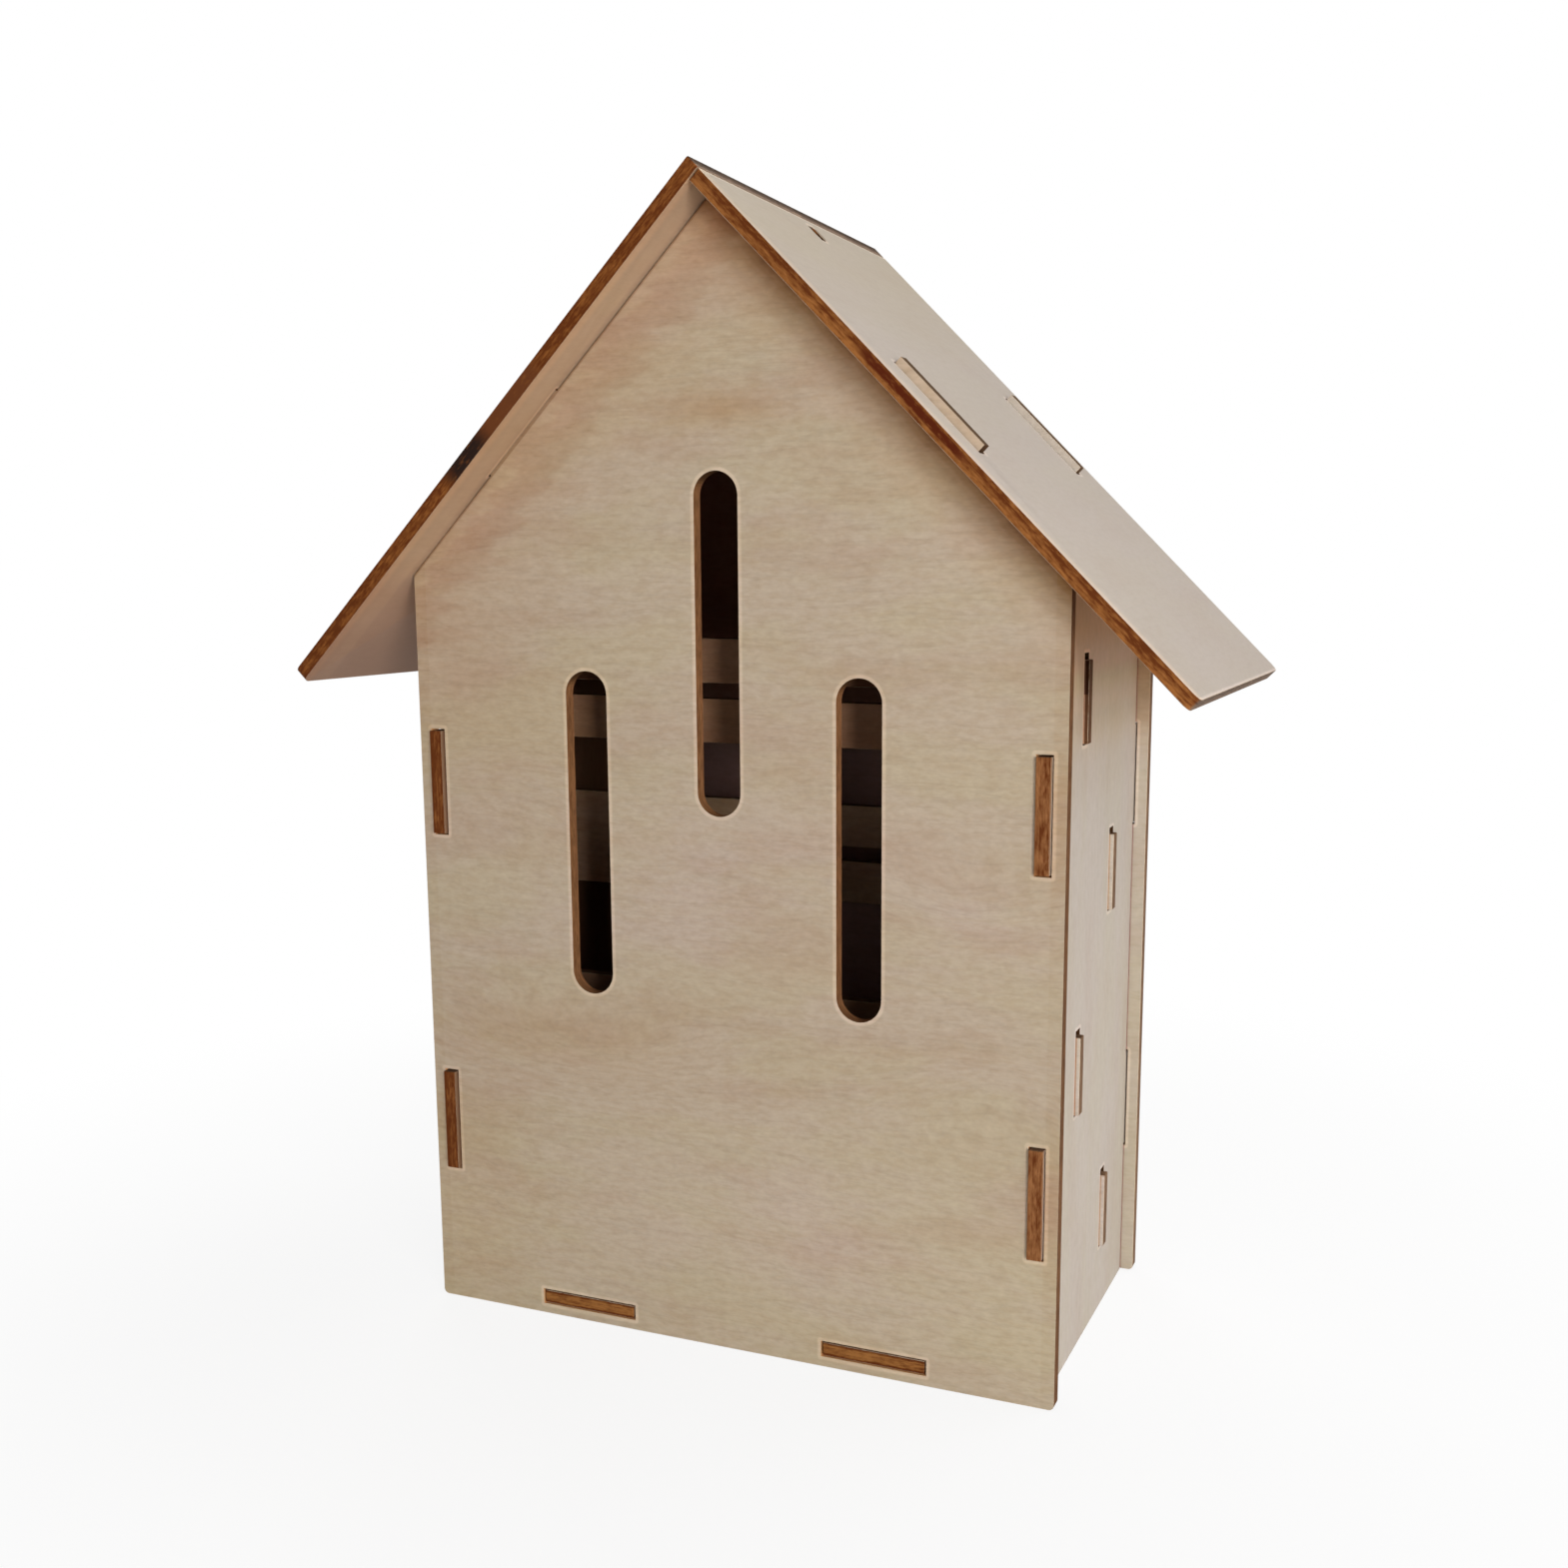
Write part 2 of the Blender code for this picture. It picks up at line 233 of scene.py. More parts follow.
world = bpy.data.worlds.new("studio_world")
scene.world = world
world.use_nodes = True
backdrop = world.node_tree.nodes["Background"]
backdrop.inputs["Color"].default_value = WHITE
path = world.node_tree.nodes.new("ShaderNodeLightPath")
level = world.node_tree.nodes.new("ShaderNodeMapRange")
world.node_tree.links.new(path.outputs["Is Camera Ray"], level.inputs["Value"])
level.inputs["To Min"].default_value = WORLD_STRENGTH
level.inputs["To Max"].default_value = 1.0
world.node_tree.links.new(level.outputs[0], backdrop.inputs["Strength"])

for name, (place, width, height, power) in LAMPS.items():
    light = bpy.data.lights.new(name, "AREA")
    light.shape = "RECTANGLE"
    light.size = width
    light.size_y = height
    light.energy = power
    holder = bpy.data.objects.new(name, light)
    holder.location = place
    holder.rotation_euler = (AIM - holder.location).to_track_quat("-Z", "Y").to_euler()
    scene.collection.objects.link(holder)
print("lamps:", ", ".join(LAMPS))

# %% [markdown]
# ## Broken edges
#
# Sawn or cut wood never has a perfectly sharp edge. Sanding takes off about a fifth of a
# millimetre, and that thin rounding catches the light all round a sheet. The model's sheets
# are stored as triangles with doubled corner points, so a Weld joins them, a planar Decimate
# merges the flat triangles, and a narrow Bevel then rounds what is left. Modifiers leave the
# CAD mesh itself as it was.

# %% Bevel every sheet
ARRIS = 0.00022
SAME_POINT = 0.00001
FLAT_ANGLE, SHARP_ANGLE = radians(0.5), radians(30)

for sheet in sheets.values():
    weld = sheet.modifiers.new("join_corners", "WELD")
    weld.merge_threshold = SAME_POINT
    merge = sheet.modifiers.new("merge_flats", "DECIMATE")
    merge.decimate_type = "DISSOLVE"
    merge.angle_limit = FLAT_ANGLE
    bevel = sheet.modifiers.new("arris", "BEVEL")
    bevel.width = ARRIS
    bevel.segments = 3
    bevel.limit_method = "ANGLE"
    bevel.angle_limit = SHARP_ANGLE
print("bevelled", len(sheets), "sheets by", ARRIS * MM, "mm")

# %% [markdown]
# ## Colours of wood and char
#
# Bare plywood isn't one colour. The front is warm, and the walls and the roof are paler and
# cooler, partly as painted cool light from the right and above. The inner faces are painted dark
# as painted shade inside the box and under the roof. The char on the cut edges runs from
# orange-brown to black. Giving each finish its own name keeps the tables below readable.

# %% Wood and char
WARM_VENEER = colour(0.412, 0.330, 0.236)
# Partly painted cool light from the right: the walls are paler and cooler than the front.
PALE_VENEER = colour(0.523, 0.457, 0.385)
CREAM_VENEER = colour(0.490, 0.425, 0.335)
# Partly painted cool light from above: the roof is paler and cooler than the front.
ROOF_VENEER = colour(0.530, 0.458, 0.390)
SLAT_VENEER = colour(0.460, 0.245, 0.138)
# Painted light: the rear slats get less light and are painted paler than the front slats.
REAR_SLAT_VENEER = colour(0.520, 0.330, 0.200)
TAB_VENEER = colour(0.505, 0.390, 0.285)
FAR_TAB_VENEER = colour(0.530, 0.460, 0.385)
TAN_VENEER = colour(0.230, 0.140, 0.085)
SMOKED_VENEER = colour(0.300, 0.165, 0.090)
# Painted shade on the upper front slat's tabs under the eaves.
SHADED_TAB_VENEER = colour(0.105, 0.048, 0.024)
# Painted shade: the inner faces of the box and the roof are painted dark.
INSIDE_VENEER = colour(0.170, 0.085, 0.045)
BACK_INSIDE_VENEER = colour(0.360, 0.210, 0.170)
SOFFIT_VENEER = colour(0.415, 0.280, 0.182)

BRIGHT_CHAR = colour(0.300, 0.124, 0.034)
AMBER_CHAR = colour(0.288, 0.108, 0.028)
RUST_CHAR = colour(0.275, 0.096, 0.022)
LEFT_TAB_CHAR = colour(0.280, 0.104, 0.029)
RIGHT_TAB_CHAR = colour(0.285, 0.120, 0.044)
# Painted light: the front's mortise walls lie in shade and are painted bright.
MORTISE_CHAR = colour(0.700, 0.380, 0.170)
# Painted cool light and sheen: greyer chars for edges that face sideways or up.
RUDDY_CHAR = colour(0.230, 0.105, 0.046)
SIDE_SHEEN_CHAR = colour(0.185, 0.112, 0.068)
GREY_SIDE_SHEEN_CHAR = colour(0.165, 0.120, 0.088)
TAB_CHAR = colour(0.115, 0.065, 0.035)
# Painted shade on the upper front slat's sideways edges.
SHADED_TAB_CHAR = colour(0.095, 0.046, 0.024)
# Dark char in the holes; on the front slots' downward faces it is painted shade.
HOLE_CHAR = colour(0.070, 0.032, 0.014)
DEEP_CHAR = colour(0.105, 0.026, 0.005)
BROWN_CHAR = colour(0.120, 0.036, 0.011)
RED_CHAR = colour(0.080, 0.013, 0.003)
BLACK_CHAR = colour(0.020, 0.010, 0.007)
print("colours ready")

# %% [markdown]
# ## What differs from sheet to sheet
#
# All sheets come from the same board, but each has its own grain direction and its own piece
# of veneer. The front's grain lies level and the side walls' grain stands upright. A sheet's
# outward direction tells its two faces from its cut edges, and the seed moves the noise, so
# that no two sheets carry the same figure.

# %% Table of sheets
LEVEL, DEEP, UP = Vector((1, 0, 0)), Vector((0, 1, 0)), Vector((0, 0, 1))
SLOPE_RIGHT = Vector((1, 0, 1)) / sqrt(2)
SLOPE_LEFT = Vector((-1, 0, 1)) / sqrt(2)
DOWN_RIGHT = Vector((1, 0, -1)) / sqrt(2)
GABLES = ("front_panel", "back_panel")
WALLS = ("left_side_panel", "right_side_panel")
ROOF = ("left_roof_panel", "right_roof_panel")
SEED_STEP = 23.7

# Most inner-face colours are painted shade.
SHEET_TABLE = (  # name, outward direction, grain direction, outer face, inner face
    ("front_panel", -DEEP, LEVEL, WARM_VENEER, INSIDE_VENEER),
    ("back_panel", DEEP, LEVEL, WARM_VENEER, BACK_INSIDE_VENEER),
    ("left_side_panel", -LEVEL, UP, PALE_VENEER, INSIDE_VENEER),
    ("right_side_panel", LEVEL, UP, PALE_VENEER, INSIDE_VENEER),
    ("floor_panel", -UP, LEVEL, WARM_VENEER, INSIDE_VENEER),
    ("upper_front_slat", -DEEP, LEVEL, SLAT_VENEER, SLAT_VENEER),
    ("upper_rear_slat", -DEEP, LEVEL, REAR_SLAT_VENEER, SLAT_VENEER),
    ("lower_front_slat", -DEEP, LEVEL, SLAT_VENEER, SLAT_VENEER),
    ("lower_rear_slat", -DEEP, LEVEL, REAR_SLAT_VENEER, SLAT_VENEER),
    ("right_roof_panel", SLOPE_RIGHT, DEEP, ROOF_VENEER, SOFFIT_VENEER),
    ("left_roof_panel", SLOPE_LEFT, DEEP, ROOF_VENEER, SOFFIT_VENEER),
)


def reach(name, axis):
    """The least and the greatest place of a sheet's corners along an axis, in millimetres."""
    places = [MM * vertex.co.dot(axis) for vertex in sheets[name].data.vertices]
    return min(places), max(places)


LOOKS = {}
for row, (name, outward, grain, outer, inner) in enumerate(SHEET_TABLE, 1):
    near, far = reach(name, outward)
    LOOKS[name] = {
        "outward": outward,
        "grain": grain,
        "outer": outer,
        "inner": inner,
        "middle": (near + far) / 2,
        "half": (far - near) / 2,
        "seed": SEED_STEP * row,
    }

# The box's outer planes: its walls, its front, its back, the front's side edges and its apex.
BOX_SIDE = reach("right_side_panel", LEVEL)[1]
BOX_FRONT = reach("front_panel", DEEP)[0]
BOX_BACK = reach("back_panel", DEEP)[1]
FRONT_SIDE = reach("front_panel", LEVEL)[1]
BOX_APEX = reach("front_panel", UP)[1]
ROOF_MIDDLE = sqrt(2) * LOOKS["right_roof_panel"]["middle"]  # |x| + z inside the roof's sheets
print("sheet thickness in mm:", round(2 * LOOKS["front_panel"]["half"], 2))

# %% [markdown]
# ## Faces that stand out of the box
#
# The tabs go through their neighbours and end in the open. The inner faces are painted dark as
# shade, so the tabs' faces outside the box get colours of their own, first for the outer and then
# for the inner face, and the upper front slat's tabs under the eaves get painted shade. The figure
# of the veneer also shows less on some sheets.

# %% Tabs and contrast
for name in WALLS:
    LOOKS[name]["outside"] = (SMOKED_VENEER, TAN_VENEER)
for name in ("upper_rear_slat", "lower_front_slat", "lower_rear_slat"):
    LOOKS[name]["outside"] = (PALE_VENEER, PALE_VENEER)
# Painted shade: this slat's tabs lie under the eaves.
LOOKS["upper_front_slat"]["outside"] = (SHADED_TAB_VENEER, SHADED_TAB_VENEER)
for name in GABLES:
    LOOKS[name]["outside"] = (WARM_VENEER, CREAM_VENEER)
# The gables' tabs where they come through the roof.
LOOKS["front_panel"]["tabs"] = TAB_VENEER
LOOKS["back_panel"]["tabs"] = FAR_TAB_VENEER

for name in (*WALLS, "back_panel"):
    LOOKS[name]["contrast"] = 0.7
for name in ROOF:
    LOOKS[name]["contrast"] = 0.35
print("sheets with tabs outside:", sum("outside" in look for look in LOOKS.values()))

# %% [markdown]
# ## The front's own figure
#
# The front is the face that everyone looks at, so its growth rings swell in chosen places, and
# soft greyish and brownish clouds lie where the veneer is unevenly dyed by its own sap.

# %% Swellings and clouds on the front
# Millimetres along and across the grain, two radii, and how far the rings are lifted.
LOOKS["front_panel"]["figures"] = [
    ((-34, 66), (32, 9), 7.0),
    ((62, 66), (22, 9), -6.0),
    ((57, 106), (20, 8), 5.0),
    ((-62, 118), (24, 10), -4.0),
]
GREY_CLOUD = colour(1.03, 1.02, 1.10)
BROWN_CLOUD = colour(0.97, 0.925, 0.87)
TAN_STAIN = colour(0.90, 0.78, 0.66)
# Millimetres along and across the grain, two radii, and a tint.
LOOKS["front_panel"]["clouds"] = [
    ((-4, 103), (40, 17), GREY_CLOUD),
    ((17, 28), (34, 16), GREY_CLOUD),
    ((58, 100), (12, 7), GREY_CLOUD),
    ((-68, 24), (16, 30), BROWN_CLOUD),
    ((-36, 66), (30, 9), BROWN_CLOUD),
    ((-60, 140), (26, 22), BROWN_CLOUD),
    ((2, 203), (17, 4), TAN_STAIN),
]
print("clouds on the front:", len(LOOKS["front_panel"]["clouds"]))

# %% [markdown]
# ## Browned band and painted shade along the slopes
#
# Along its slopes the gable is browned by the laser's smoke, and the band also holds painted
# shade under the roof's overhang, browned as painted warm bounce light from the roof's underside,
# with a little painted light at the right band's border. It is strong and narrow on the right and
# wide and ragged on the left. One even band would look painted on, so a row of stops says which
# tint to multiply the wood by at which distance, and noise frays the band's border.

# %% Band along the gable's slopes
# Tints at millimetres from the slope, and how far the band's border strays.
# Laser browning with painted shade and painted light along each slope.
LEFT_STAIN_AND_SHADE = (
    [
        (0.8, colour(1.00, 0.89, 0.80)),
        (3.0, colour(0.92, 0.775, 0.695)),
        (6.0, colour(0.88, 0.745, 0.665)),
        (9.5, colour(0.885, 0.775, 0.70)),
        (13.0, colour(0.97, 0.915, 0.865)),
        (22.0, colour(0.99, 0.970, 0.945)),
        (36.0, WHITE),
    ],
    18.0,
)
RIGHT_STAIN_AND_SHADE = (
    [
        (1.2, colour(0.59, 0.36, 0.20)),
        (2.5, colour(0.90, 0.63, 0.41)),
        (3.6, colour(1.06, 0.84, 0.64)),
        (5.0, colour(1.07, 0.92, 0.77)),
        (7.0, colour(0.965, 0.865, 0.775)),
        (9.5, colour(0.985, 0.94, 0.90)),
        (16.0, WHITE),
    ],
    3.0,
)
LOOKS["front_panel"]["scorch"] = (LEFT_STAIN_AND_SHADE, RIGHT_STAIN_AND_SHADE)
print("stops in the two bands:", len(LEFT_STAIN_AND_SHADE[0]), len(RIGHT_STAIN_AND_SHADE[0]))

# %% [markdown]
# ## Slow shades
#
# The walls, and the back's strip beside them, carry painted shade under the eaves, browned and in
# places lightened as painted warm bounce light. The roof's underside has painted shade towards the
# eaves, and on its front overhang painted shade at the edge and painted light towards the gable.
# The front is a little paler at its foot. Lamps could only give part of this, so the same kind of
# stops lays it over the wood.

# %% Slow changes of shade
# Tints at millimetres up, down the roof's slope, or from front to back.
# Painted shade and painted warm bounce light on the walls under the eaves.
EAVES_SHADE = [
    (118, WHITE),
    (130, colour(0.94, 0.915, 0.89)),
    (140, colour(0.92, 0.835, 0.70)),
    (144, colour(1.045, 0.90, 0.735)),
    (148, colour(1.11, 0.95, 0.69)),
    (152, colour(1.22, 0.93, 0.70)),
    (160, colour(1.23, 0.84, 0.52)),
]
# Painted shade and painted warm bounce light on the back's strip under the eaves.
REAR_EAVES_SHADE = [(127, WHITE), (141, colour(0.80, 0.65, 0.52)), (149, colour(1.05, 0.80, 0.60))]
FRONT_FOOT_SHADE = [(15, colour(1.065, 1.08, 1.06)), (75, WHITE)]
# Painted shade on the roof's underside towards the eaves.
SOFFIT_SHADE = [
    (-135, WHITE),
    (-105, colour(0.925, 0.885, 0.84)),
    (-76, colour(0.95, 0.93, 0.92)),
    (-60, colour(0.83, 0.73, 0.70)),
    (-38, colour(0.67, 0.57, 0.56)),
]
# Painted shade at the overhang's front edge and painted light towards the gable.
OVERHANG_SHADE = [
    (-50.2, colour(0.90, 0.90, 0.88)),
    (-48.6, colour(0.96, 0.96, 0.94)),
    (-44.6, colour(1.06, 1.08, 1.06)),
    (-42.4, colour(1.08, 1.10, 1.08)),
    (-41.0, WHITE),
]
ROOF_SHADE = [(-165, colour(0.99, 0.975, 0.90)), (-120, WHITE), (-60, colour(1.04, 1.04, 1.045))]

# Each shade lies on one face and follows one coordinate.
LOOKS["front_panel"]["shades"] = [("outer", "high", FRONT_FOOT_SHADE)]
LOOKS["back_panel"]["shades"] = [("inner", "high", REAR_EAVES_SHADE)]
for name in WALLS:
    LOOKS[name]["shades"] = [("outer", "high", EAVES_SHADE)]
for name in ROOF:
    LOOKS[name]["shades"] = [
        ("inner", "down", SOFFIT_SHADE),
        ("inner", "deep", OVERHANG_SHADE),
        ("outer", "down", ROOF_SHADE),
    ]
print("shaded sheets:", [name for name, look in LOOKS.items() if "shades" in look])

# %% [markdown]
# ## How strongly each edge is burnt
#
# The beam burns deeper where it moves slowly or where the smoke can't get away, so no two
# sheets have the same edge. A few numbers for each sheet say how dark its edges are, whether
# they darken beside the two arrises or along a line, and which char they are made of.

# %% Burn of the edges
# From 0 for bare brown to 1 for black-brown.
BURN = {
    "left_side_panel": 0.42,
    "right_side_panel": 0.06,
    "floor_panel": -0.12,
    "right_roof_panel": 0.06,
    "left_roof_panel": 0.42,
}
USUAL_TOP_BURN = 0.25
TOP_BURN = {"right_roof_panel": 0.45, "left_roof_panel": 0.10}  # towards the outer face
ARRIS_BURN = {
    "floor_panel": 1.00,
    "left_side_panel": 0.30,
    "right_side_panel": 0.10,
    "left_roof_panel": 0.25,
}
LINE_BURN = {"right_roof_panel": 0.35}  # along a line in the outer half
BRIGHT_CHARS = {
    "left_roof_panel": RUST_CHAR,
    "right_roof_panel": AMBER_CHAR,
    "left_side_panel": LEFT_TAB_CHAR,
    "right_side_panel": RIGHT_TAB_CHAR,
}
# Char of the edges that face sideways or up, greyer as painted cool light and sheen.
SIDE_CHARS = {
    "front_panel": RUDDY_CHAR,
    "upper_front_slat": SHADED_TAB_CHAR,
    "left_roof_panel": GREY_SIDE_SHEEN_CHAR,
    "right_roof_panel": GREY_SIDE_SHEEN_CHAR,
}
# Darker stretches: millimetres across the grain, half length, colour, spread in depth and the
# least share between the streaks.
MARKS = {
    "right_roof_panel": [(109.5, 14.5, RED_CHAR, 0.65, 0.55)],
    "left_roof_panel": [(-114.5, 10.0, BROWN_CHAR, 2.0, 0.60), (-99.8, 6.0, BLACK_CHAR, 2.5, 0.65)],
}
for name, look in LOOKS.items():
    look["burn"] = BURN.get(name, 0.0)
    look["top_burn"] = TOP_BURN.get(name, USUAL_TOP_BURN)
    look["arris_burn"] = ARRIS_BURN.get(name)
    look["line_burn"] = LINE_BURN.get(name)
    look["bright_char"] = BRIGHT_CHARS.get(name, BRIGHT_CHAR)
    look["side_char"] = SIDE_CHARS.get(name, SIDE_SHEEN_CHAR)
    look["marks"] = MARKS.get(name, ())
print("dark stretches:", sum(len(marks) for marks in MARKS.values()))

# %% [markdown]
# ## Where the cuts are
#
# Beside each cut the face carries a painted highlight, a paler rim about half a millimetre wide.
# To paint that rim, the wood has to know where the slots, the mortises and the outer edges run.
# The places are read from the corner points of each sheet's own mesh, so they stay right when a
# size changes. Left and right match, so the distance from the middle stands for both sides.

# %% Outlines of the cuts
AXES = {"x": LEVEL, "y": DEEP, "z": UP, "down": DOWN_RIGHT}
# Which corner points belong to a cut: limits along the axes, in millimetres.
ENTRY_SLOTS = ({"x": (-8, 8), "z": (60, 200)}, {"x": (24, 40), "z": (60, 200)})
SIDE_MORTISES = {"x": (60, 73), "z": (-1, 160)}
FLOOR_MORTISES_WIDE = {"x": (10, 60), "z": (-1, 20)}
FLOOR_MORTISES_HIGH = {"x": (10, 60), "z": (1, 20)}
WALL_MORTISES = {"y": (-30, 30)}
ROOF_MORTISES = {"down": (-130, -90)}
CORD_SLOT = {"y": (-20, 20)}
SLIT = {"x": (-60, 60)}
CLOSE = 0.2  # how near a mortise's corner points lie to its ends


def corners(name, limits):
    """The corner points of a sheet that lie within the limits, in millimetres."""
    points = [MM * vertex.co for vertex in sheets[name].data.vertices]
    for side, (low, high) in limits.items():
        points = [point for point in points if low < point.dot(AXES[side]) < high]
    return points


def spans(name, side, limits):
    """Where the cuts within the limits start and end along an axis, in millimetres."""
    places = sorted({round(point.dot(AXES[side]), 1) for point in corners(name, limits)})
    return list(zip(places[::2], places[1::2]))


# A cut: two coordinates with its start and its end along each, and the radius of its ends.
CUTS = {name: [] for name in LOOKS}
for limits in ENTRY_SLOTS:
    slot = corners("front_panel", limits)
    wide = (min(point.x for point in slot), max(point.x for point in slot))
    high = (min(point.z for point in slot), max(point.z for point in slot))
    CUTS["front_panel"].append((("wide", *wide), ("high", *high), (wide[1] - wide[0]) / 2))
for name in GABLES:
    wide = spans(name, "x", SIDE_MORTISES)[0]
    for high in spans(name, "z", SIDE_MORTISES):
        CUTS[name].append((("wide", *wide), ("high", *high), 0))
    wide = spans(name, "x", FLOOR_MORTISES_WIDE)[0]
    high = spans(name, "z", FLOOR_MORTISES_HIGH)[0]
    CUTS[name].append((("wide", *wide), ("high", *high), 0))
for name in WALLS:
    for deep in spans(name, "y", WALL_MORTISES):
        for high in spans(name, "z", {"y": (deep[0] - CLOSE, deep[1] + CLOSE)}):
            CUTS[name].append((("deep", *deep), ("high", *high), 0))
down = spans("right_roof_panel", "down", ROOF_MORTISES)[0]
for name in ROOF:
    for deep in spans("right_roof_panel", "y", ROOF_MORTISES):
        CUTS[name].append((("down", *down), ("deep", *deep), 0))
cord_down = spans("right_roof_panel", "down", CORD_SLOT)[0]
cord_deep = spans("right_roof_panel", "y", CORD_SLOT)[0]
CUTS["right_roof_panel"].append((("down", *cord_down), ("deep", *cord_deep), 0))
for name, look in LOOKS.items():
    look["cuts"] = CUTS[name]
print("cuts found:", {name: len(cuts) for name, cuts in CUTS.items()})

# %% [markdown]
# ## Rims, soot and contact lines
#
# A border is a thin strip along a sheet's own edge. The roof is paler along its front edge, a
# painted highlight that is partly its own paler arris, and along its eaves, a painted highlight,
# and the gable carries a painted contact shadow where the roof touches it. Smoke leaves soot close
# round the small slot near the ridge, a painted shadow of the slots' tops darkens the upper front
# slat above its slit, and the front is darker beside its side mortises.

# %% Borders and soot
CUT_RIM = 1.0  # width of the pale rim beside a cut, in millimetres
# Painted highlight beside the cuts and along the eaves and the ridge.
RIM_TINT = colour(1.28, 1.26, 1.28)
# Painted contact shadow where the roof touches the gable.
CONTACT_TINT = colour(0.70, 0.60, 0.52)
# Painted highlight along the roof's front edge, partly its own paler arris.
FRONT_EDGE_TINT = colour(1.16, 1.10, 1.04)
# The front is darker beside its side mortises.
MORTISE_SIDE_TINT = colour(0.93, 0.82, 0.75)
MORTISE_SIDE_OFFSET, MORTISE_SIDE_RADIUS, MORTISE_SIDE_LENGTH = 1.6, 2.6, 0.62
SOOT_TINT = colour(0.30, 0.23, 0.17)
SOOT_INSET = 1.2  # the soot is shorter than the slot at both ends
# Painted shadow of the slots' tops on the upper front slat above its slit.
SLIT_SHADOW_TINT = colour(0.34, 0.27, 0.25)

roof_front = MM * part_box("right_roof_panel")[0][1]
roof_eave = reach("right_roof_panel", DOWN_RIGHT)[1]
roof_ridge = reach("left_roof_panel", SLOPE_RIGHT)[1]
ridge_corner = max(sheets["right_roof_panel"].data.vertices, key=lambda vertex: vertex.co.z)
ridge_lap = MM * ridge_corner.co.x

# A coordinate, its value at the sheet's edge, the border's width and its tint.
for name in ROOF:
    LOOKS[name]["borders"] = [
        ("deep", roof_front, 3.4, FRONT_EDGE_TINT),
        ("down", roof_eave, 0.8, RIM_TINT),
    ]
LOOKS["right_roof_panel"]["borders"].append(("wide", ridge_lap, 0.7, RIM_TINT))
# Painted contact shadow along the gable's slopes.
LOOKS["front_panel"]["borders"] = [("inward", 0.0, 0.5, CONTACT_TINT)]

soot_down = ("down", cord_down[0] + SOOT_INSET, cord_down[1] - SOOT_INSET)
LOOKS["right_roof_panel"]["soot"] = (soot_down, ("deep", *cord_deep), 0)
# The lapping end at the ridge is sooty towards the outer face and paler towards the joint.
LOOKS["left_roof_panel"]["ridge_soot"] = [
    (-1.4, colour(2.10, 2.20, 2.30)),
    (-0.2, colour(1.05, 1.05, 1.03)),
    (0.6, colour(0.62, 0.59, 0.55)),
    (1.2, colour(0.55, 0.51, 0.47)),
]
slit_top = spans("upper_front_slat", "z", SLIT)[0][1]
# Painted shadow above the upper front slat's slit.
LOOKS["upper_front_slat"]["smoke"] = slit_top
# A darker spot beside each side mortise on the front.
for (_, _, outer_side), (_, low_end, high_end), _ in CUTS["front_panel"][2:4]:
    spot = (outer_side + MORTISE_SIDE_OFFSET, (low_end + high_end) / 2)
    radii = (MORTISE_SIDE_RADIUS, MORTISE_SIDE_LENGTH * (high_end - low_end))
    LOOKS["front_panel"]["clouds"].append((spot, radii, MORTISE_SIDE_TINT))
print("in mm, right roof panel's start:", round(ridge_lap, 2), "upper front slit's top:", slit_top)

# %% [markdown]
# ## Where a point lies in its sheet
#
# Every part of the wood recipe asks the same questions: how far along the grain, how far
# across it, and how deep in the sheet is this point, and does it lie on a face or on a cut
# edge? All are answered in millimetres, from the object's own coordinates, so noise sizes can
# be read as real sizes.

# %% Sheet coordinates
LAYERS = 2.1  # how fast the noise changes through the sheet
OUTER_HALF = (-0.5, 0.5)  # the change to the outer face, in millimetres from the middle
FACING = (0.45, 0.90)  # how squarely a face, and no edge, looks outward
OUTSIDE_CHANGE = 0.2  # width of the change to outside the box


def sheet_place(wood, look):
    """The point's place in its sheet in millimetres, and its share of the faces."""
    source = wood.node("ShaderNodeTexCoord").outputs
    scaled = wood.node("ShaderNodeVectorMath", source["Object"], operation="SCALE")
    scaled.inputs["Scale"].default_value = MM
    point = scaled.outputs[0]
    wide = wood.sum("ABSOLUTE", wood.dot(point, LEVEL))
    high = wood.dot(point, UP)
    below_apex = wood.sum("SUBTRACT", BOX_APEX, wood.sum("ADD", wide, high))
    through = wood.sum("SUBTRACT", wood.dot(point, look["outward"]), look["middle"])
    facing = wood.sum("ABSOLUTE", wood.dot(source["Normal"], look["outward"]))
    return {
        "point": point,
        "normal": source["Normal"],
        "wide": wide,
        "deep": wood.dot(point, DEEP),
        "high": high,
        "down": wood.product(wood.sum("SUBTRACT", wide, high), sqrt(0.5)),
        "inward": wood.product(below_apex, sqrt(0.5)),
        "along": wood.dot(point, look["grain"]),
        "across": wood.dot(point, look["outward"].cross(look["grain"])),
        "through": through,
        "depth": wood.sum("DIVIDE", through, look["half"]),
        "outer": wood.step(through, *OUTER_HALF),
        "face": wood.step(facing, *FACING),
        "layer": wood.sum("MULTIPLY_ADD", through, LAYERS, look["seed"]),
    }


def past_roof(wood, place):
    """Millimetres by which the point lies above the middle of the roof's sheets."""
    over = wood.sum("SUBTRACT", wood.sum("ADD", place["wide"], place["high"]), ROOF_MIDDLE)
    return wood.product(over, sqrt(0.5))


def outside_share(wood, place, start):
    """1 where the point lies further out of the box than start, in millimetres, and 0 inside."""
    past = wood.sum("SUBTRACT", place["wide"], BOX_SIDE)
    past = wood.sum("MAXIMUM", past, wood.sum("SUBTRACT", BOX_FRONT, place["deep"]))
    past = wood.sum("MAXIMUM", past, wood.sum("SUBTRACT", place["deep"], BOX_BACK))
    past = wood.sum("MAXIMUM", past, past_roof(wood, place))
    return wood.step(past, start, start + OUTSIDE_CHANGE)


